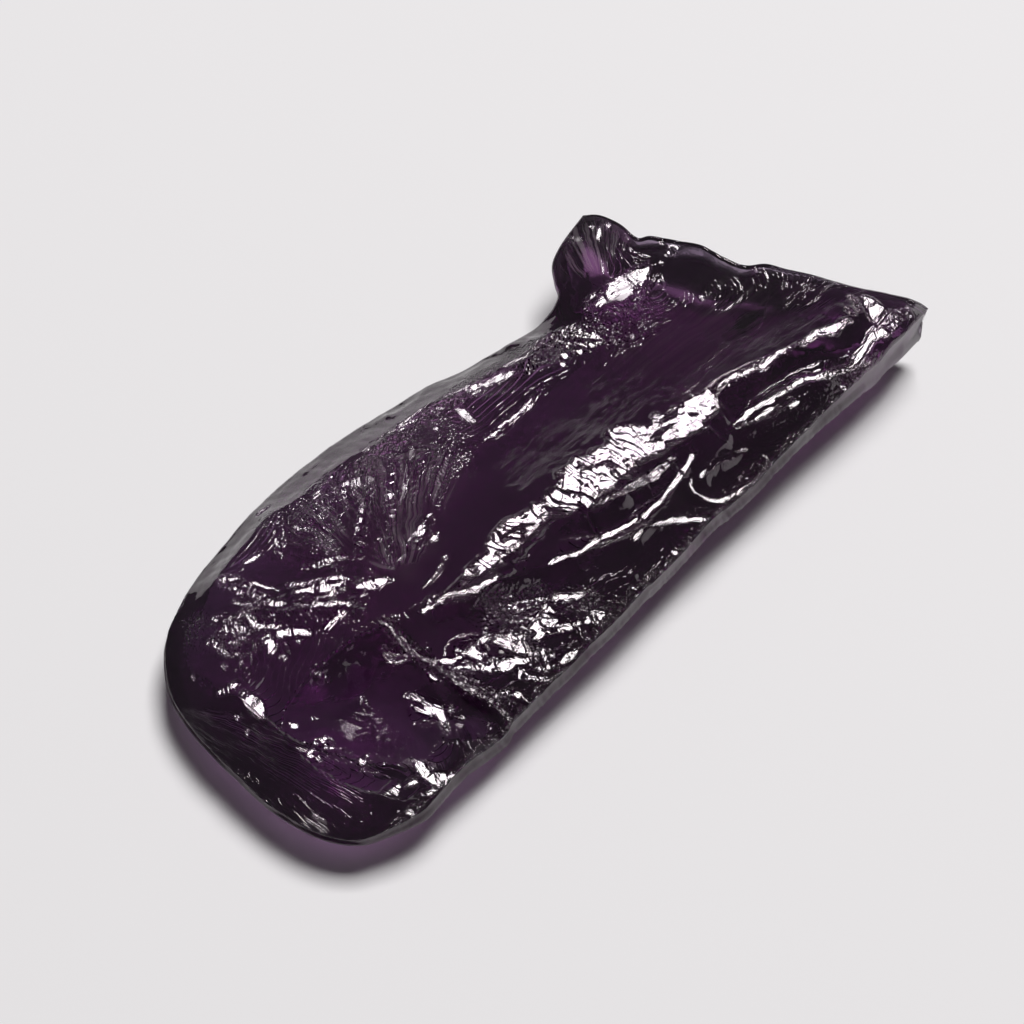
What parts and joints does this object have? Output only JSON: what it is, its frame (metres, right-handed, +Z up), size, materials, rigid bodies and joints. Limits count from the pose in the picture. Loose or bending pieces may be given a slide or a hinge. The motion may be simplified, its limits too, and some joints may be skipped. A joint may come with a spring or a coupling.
{
  "type": "rough alexandrite crystal piece",
  "caption": "Split piece of dark violet rough alexandrite: glassy conchoidal fracture above, smooth rounded grown skin below.",
  "frame": {"origin": "middle of the bounding box, at the level of the flat that the stone rests on", "axes": "+X along the stone towards the broken tip, +Y towards the thin bevelled edge, +Z up out of the fracture face"},
  "size_m": [0.0448, 0.0206, 0.007],
  "materials": {
    "alexandrite": "glassy fracture surface on dark violet see-through chrysoberyl"
  },
  "bodies": {
    "root": {"rough_alexandrite": "alexandrite"}
  },
  "joints": []
}
